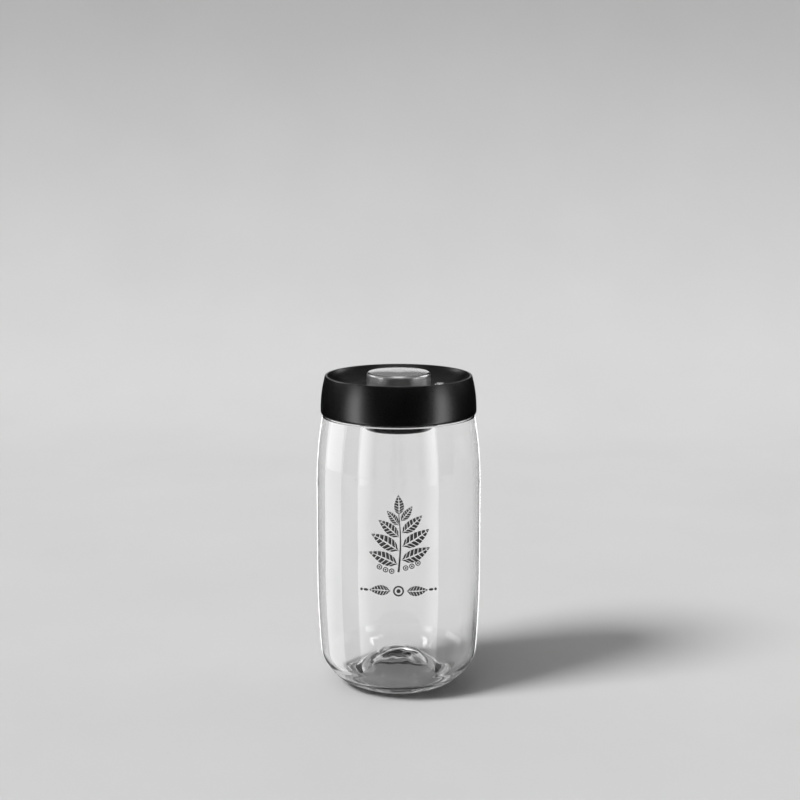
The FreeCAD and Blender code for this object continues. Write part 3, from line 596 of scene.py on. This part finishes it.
def leaf_point(leaf, along, out):
    """A point of a leaf, by its share along the midrib and its share out towards the edge."""
    (x, y), length, width, slope = leaf
    along = min(along, 1.0)
    ahead = length * along
    bend = LEAF_BEND_SHARE * length * along * (1 - along)
    aside = width / 2 * out * math.sin(math.pi * along ** LEAF_SWELL) - bend
    return (x + ahead * math.cos(slope) - aside * math.sin(slope),
            y + ahead * math.sin(slope) + aside * math.cos(slope))


def leaf_edge(leaf, side, along):
    """A slanting line of points from a leaf's midrib out to one of its edges."""
    shares = [i / CELL_STEPS for i in range(CELL_STEPS + 1)]
    return [leaf_point(leaf, along + CELL_SLANT_SHARE * share * (1 - along),
                       side * (MIDRIB_SHARE + (1 - MIDRIB_SHARE) * share)) for share in shares]


def ink_leaf(mesh, wall, foot, length, width, slope):
    """A leaf of slanting cells on both sides of a bare midrib, with bare veins between them."""
    leaf = (foot, length, width, slope)
    for side in (-1, 1):
        for cell in range(LEAF_CELLS):
            start = (cell + VEIN_SHARE / 2) / LEAF_CELLS
            stop = (cell + 1 - VEIN_SHARE / 2) / LEAF_CELLS
            ink_patch(mesh, wall, leaf_edge(leaf, side, start), leaf_edge(leaf, side, stop))


def ink_line(mesh, wall, points, width_from, width_to):
    """An upright line of ink through points, of changing width."""
    last = len(points) - 1
    widths = [width_from + (width_to - width_from) * i / last for i in range(len(points))]
    left = [(x - width / 2, y) for (x, y), width in zip(points, widths)]
    right = [(x + width / 2, y) for (x, y), width in zip(points, widths)]
    ink_patch(mesh, wall, left, right)


def ink_ring(mesh, wall, centre, outer, inner):
    """A round ring of ink."""
    x, y = centre
    angles = turns(RING_STEPS) + [FULL_TURN]
    edges = [[(x + radius * math.cos(angle), y + radius * math.sin(angle)) for angle in angles]
             for radius in (outer, inner)]
    ink_patch(mesh, wall, *edges)


def ink_dot(mesh, wall, centre, radius):
    """A round dot of ink."""
    ink_ring(mesh, wall, centre, radius, DOT_HOLE)


def ink_bar(mesh, wall, centre, half_length, half_height):
    """A bar that runs out to a point at both ends."""
    x, y = centre
    shares = [i / BAR_STEPS for i in range(1, BAR_STEPS)]
    places = [x + half_length * (2 * share - 1) for share in shares]
    rises = [half_height * math.sin(math.pi * share) ** BAR_FULLNESS for share in shares]
    lower = [(place, y - rise) for place, rise in zip(places, rises)]
    upper = [(place, y + rise) for place, rise in zip(places, rises)]
    ink_patch(mesh, wall, lower, upper)


def stem_side(height):
    """How far the stem of the sprig leans aside at a height above its foot."""
    return STEM_SWAY * math.sin(height / STEM_WAVE)


def ink_sprig(mesh, wall):
    """A stem with pairs of leaves and one leaf at its top."""
    stem = [(stem_side(height), SPRIG_FOOT + height) for height in STEM_HEIGHTS]
    ink_line(mesh, wall, stem, *STEM_WIDTHS)
    for height, length, slope in LEAF_PAIRS:
        for side in (-1, 1):
            start = height + side * LEAF_STAGGER
            foot = (stem_side(start) + side * LEAF_STALK, SPRIG_FOOT + start)
            angle = math.radians(slope if side > 0 else 180.0 - slope)
            ink_leaf(mesh, wall, foot, length, side * length * LEAF_WIDTH_SHARE, angle)
    foot = (stem_side(TOP_LEAF["height"]), SPRIG_FOOT + TOP_LEAF["height"])
    ink_leaf(mesh, wall, foot, TOP_LEAF["length"], TOP_LEAF["width"], math.radians(TOP_LEAF["slope"]))


def ink_berries(mesh, wall):
    """Berries beside the foot of the sprig."""
    for across, height in BERRIES:
        centre = (across, SPRIG_FOOT + height)
        ink_ring(mesh, wall, centre, *BERRY_RING)
        ink_dot(mesh, wall, centre, BERRY_DOT)


def ink_divider(mesh, wall):
    """A divider that is the same on both sides of a ring."""
    for side in (-1, 1):
        foot = (side * SIDE_LEAF["across"], DIVIDER_HEIGHT)
        ink_leaf(mesh, wall, foot, side * SIDE_LEAF["length"], SIDE_LEAF["width"], 0.0)
        bar = (side * SIDE_BAR["across"], DIVIDER_HEIGHT)
        ink_bar(mesh, wall, bar, SIDE_BAR["half_length"], SIDE_BAR["half_height"])
        ink_dot(mesh, wall, (side * SIDE_DOT["across"], DIVIDER_HEIGHT), SIDE_DOT["radius"])
    ink_ring(mesh, wall, (0.0, DIVIDER_HEIGHT), *MIDDLE_RING)
    ink_dot(mesh, wall, (0.0, DIVIDER_HEIGHT), MIDDLE_DOT)


def build_print(wall):
    """A leaf sprig with berries and a divider below it, printed on the front of the jar."""
    mesh = bmesh.new()
    ink_sprig(mesh, wall)
    ink_berries(mesh, wall)
    ink_divider(mesh, wall)
    piece = mesh_object("front_print", mesh)
    piece.data.materials.append(print_ink())
    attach(piece, "jar")


# Springs


def coil_rise(spring, turn):
    """How high the wire has climbed after so many turns: both ends lie closed on their seats."""
    low = spring["foot"] + spring["wire"] + SEAT_GAP
    high = spring["head"] - spring["wire"] - SEAT_GAP
    closed = spring["wire"] * CLOSED_RISE
    stages = [(0.0, low), (CLOSED_TURNS, low + closed),
              (spring["turns"] - CLOSED_TURNS, high - closed), (spring["turns"], high)]
    for (from_turn, from_height), (to_turn, to_height) in zip(stages, stages[1:]):
        if turn <= to_turn:
            return from_height + (to_height - from_height) * (turn - from_turn) / (to_turn - from_turn)
    return high


def wire_ring(mesh, spring, turn):
    """Points round the wire after so many turns."""
    angle = FULL_TURN * turn
    outward = Vector((math.cos(angle), math.sin(angle), 0.0))
    centre = Vector((*spring["centre"], coil_rise(spring, turn))) + outward * spring["coil"]
    around = [outward * math.cos(a) + UP * math.sin(a) for a in turns(WIRE_SIDES)]
    return [mesh.verts.new((centre + way * spring["wire"]) * MM) for way in around]


def build_spring(spring):
    """A wound spring on the lid, in place of its node, with a mesh of its own."""
    mesh = bmesh.new()
    steps = int(spring["turns"] * STEPS_PER_TURN)
    closed_tube(mesh, [wire_ring(mesh, spring, i / STEPS_PER_TURN) for i in range(steps + 1)])
    piece = mesh_object(spring["name"], mesh)
    finish_piece(piece, "spring_steel", "lid", spring["node"])
    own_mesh(piece)


# Stage


def floor_outline():
    """The outline of the floor from its front edge, round the bend and up the backdrop."""
    angles = [math.pi / 2 * i / BEND_STEPS for i in range(BEND_STEPS + 1)]
    bend = [(BACKDROP_START + BACKDROP_BEND * math.sin(angle), BACKDROP_BEND * (1.0 - math.cos(angle)))
            for angle in angles]
    return [(FLOOR_FRONT, 0.0), *bend, (BACKDROP_START + BACKDROP_BEND, BACKDROP_HEIGHT)]


def floor_grey():
    """A plain pale grey with a painted glow where it is seen through glass, which lightens the shadow
    under the jar.
    """
    values = {"Roughness": 0.75, "Specular IOR Level": 0.2, "Emission Color": WHITE}
    material, tree, shader = new_shader("stage_grey", values)
    tint(tree, grain(tree, FLOOR_GRAIN), shader.inputs["Base Color"], FLOOR_TONES)
    # Painted light: the floor glows only for rays that come through glass, which lightens the shadow
    # under the jar seen through its base.
    glow = calculate(tree, "MULTIPLY", light_path(tree)["Is Transmission Ray"], FLOOR_GLOW_THROUGH_GLASS)
    tree.links.new(glow, shader.inputs["Emission Strength"])
    material.cycles.emission_sampling = "NONE"
    return material


def build_floor():
    """A pale floor that bends up into a backdrop far behind the jar."""
    mesh = bmesh.new()
    sides = (-FLOOR_HALF_WIDTH, FLOOR_HALF_WIDTH)
    rows = [[mesh.verts.new((x, y, z)) for x in sides] for y, z in floor_outline()]
    for low, high in zip(rows, rows[1:]):
        mesh.faces.new((low[0], low[1], high[1], high[0]))
    floor = mesh_object("stage_floor", mesh)
    floor.data.materials.append(floor_grey())
    floor.visible_glossy = False


def build_surround():
    """A surround that gives little light and is pale where the camera or glass shows it."""
    world = bpy.data.worlds.new("surround")
    bpy.context.scene.world = world
    world.use_nodes = True
    world.cycles_visibility.glossy = False
    tree = world.node_tree
    path = light_path(tree)
    shown = calculate(tree, "MAXIMUM", path["Is Camera Ray"], path["Is Transmission Ray"])
    background = tree.nodes["Background"]
    background.inputs["Color"].default_value = WHITE
    tree.links.new(rescale(tree, shown, (0.0, 1.0), SURROUND_LEVELS), background.inputs["Strength"])


def add_lamp(name, place, strength, spread):
    """A soft, even lamp in the direction of a place, as wide as an angle in degrees."""
    light = bpy.data.lights.new(name, "SUN")
    light.energy = strength
    light.angle = math.radians(spread)
    lamp = bpy.data.objects.new(name, light)
    lamp.location = place
    lamp.rotation_euler = (-Vector(place)).to_track_quat("-Z", "Y").to_euler()
    lamp.visible_camera = False
    lamp.visible_glossy = False
    lamp.visible_transmission = False
    bpy.context.scene.collection.objects.link(lamp)


def card_glow(name, strength, half_width, edge, shows_in):
    """A glow that fades out over a share of the card's half width, for sharp or blurred reflections."""
    material = bpy.data.materials.new(name)
    material.use_nodes = True
    material.cycles.emission_sampling = "NONE"
    tree = material.node_tree
    tree.nodes.clear()
    path = light_path(tree)
    place = split_vector(tree, tree.nodes.new("ShaderNodeTexCoord").outputs["Object"])
    aside = calculate(tree, "ABSOLUTE", place["X"])
    level = rescale(tree, aside, (half_width * (1.0 - edge), half_width), (strength, 0.0), "SMOOTHSTEP")
    mirrored = calculate(tree, "GREATER_THAN", path["Glossy Depth"], REFLECTED_DEPTH)
    share = rescale(tree, path["Is Singular Ray"], (0.0, 1.0), CARD_SHARES[shows_in])
    shown = calculate(tree, "MULTIPLY", mirrored, share)
    glow = tree.nodes.new("ShaderNodeEmission")
    out = tree.nodes.new("ShaderNodeOutputMaterial")
    tree.links.new(calculate(tree, "MULTIPLY", level, shown), glow.inputs["Strength"])
    tree.links.new(glow.outputs["Emission"], out.inputs["Surface"])
    return material


def card_sheet(name, corners, glow):
    """A flat card between four corners that shows in reflections only."""
    mesh = bmesh.new()
    mesh.faces.new([mesh.verts.new(corner) for corner in corners])
    card = mesh_object(name, mesh)
    card.data.materials.append(glow)
    card.visible_camera = False
    card.visible_diffuse = False
    card.visible_shadow = False
    return card


def add_upright_card(name, azimuth, distance, width, low, high, strength, edge, shows_in):
    """An upright bright card at an azimuth from the camera."""
    half = width / 2
    corners = ((-half, 0.0, low), (half, 0.0, low), (half, 0.0, high), (-half, 0.0, high))
    card = card_sheet(name, corners, card_glow(name, strength, half, edge, shows_in))
    angle = math.radians(azimuth)
    card.location = (math.sin(angle) * distance, -math.cos(angle) * distance, 0.0)
    card.rotation_euler = (0.0, 0.0, angle)


def add_level_card(name, height, width, front, back, strength, edge, shows_in):
    """A level bright card at a height, between a front and a back edge."""
    half = width / 2
    corners = ((-half, front, height), (half, front, height),
               (half, back, height), (-half, back, height))
    card_sheet(name, corners, card_glow(name, strength, half, edge, shows_in))


def build_light():
    """Soft lamps, mainly from the left, bright cards for the reflections and a dim surround."""
    build_surround()
    for lamp in LAMPS:
        add_lamp(*lamp)
    for card in UPRIGHT_CARDS:
        add_upright_card(*card)
    for card in LEVEL_CARDS:
        add_level_card(*card)


def build_camera():
    """The camera that sees the jar as the photo does."""
    lens = bpy.data.cameras.new("camera")
    lens.lens = CAMERA_LENS
    camera = bpy.data.objects.new("camera", lens)
    camera.location = CAMERA_EYE
    camera.rotation_euler = (CAMERA_AIM - CAMERA_EYE).to_track_quat("-Z", "Y").to_euler()
    bpy.context.scene.collection.objects.link(camera)
    bpy.context.scene.camera = camera


jar_outline = rounded_outline(JAR_CORNERS)
finish_frame()
build_jar(jar_outline)
build_print(wall_of(jar_outline))
for spring in SPRINGS:
    build_spring(spring)
build_floor()
build_light()
build_camera()
bpy.context.scene.view_settings.view_transform = "Standard"
